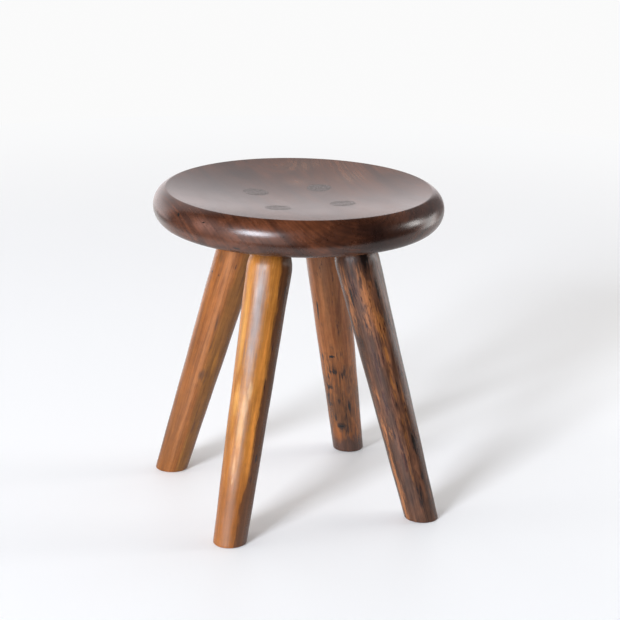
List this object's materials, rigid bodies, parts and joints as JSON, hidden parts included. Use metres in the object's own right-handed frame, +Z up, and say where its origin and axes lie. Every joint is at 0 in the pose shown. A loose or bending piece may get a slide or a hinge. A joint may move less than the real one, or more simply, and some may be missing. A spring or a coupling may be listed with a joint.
{
  "type": "stool",
  "caption": "Round wooden stool: thick turned seat with a dished top and rolled edge, on splayed, tapered legs whose wedged tenons run through the seat.",
  "frame": {"origin": "on the floor under the middle of the seat", "axes": "+Z up the axis of the turned seat, front towards -Y, grain of the seat along Y, legs on the diagonals between X and Y"},
  "size_m": [0.4, 0.4, 0.45],
  "materials": {
    "seat_wood": "dark red-brown hardwood, satin lacquer",
    "leg_wood_golden": "golden hardwood, satin lacquer",
    "leg_wood_dark": "dark brown hardwood with orange streaks, satin lacquer",
    "leg_wood_brown": "brown hardwood with black streaks, satin lacquer",
    "leg_wood_amber": "orange-brown hardwood, satin lacquer",
    "wedge_wood": "grey-brown hardwood, satin lacquer"
  },
  "bodies": {
    "root": {"seat": "seat_wood", "leg_front_left": "leg_wood_golden", "leg_front_right": "leg_wood_dark", "leg_back_right": "leg_wood_brown", "leg_back_left": "leg_wood_amber", "wedge_front_left": "wedge_wood", "wedge_front_right": "wedge_wood", "wedge_back_right": "wedge_wood", "wedge_back_left": "wedge_wood"}
  },
  "joints": []
}
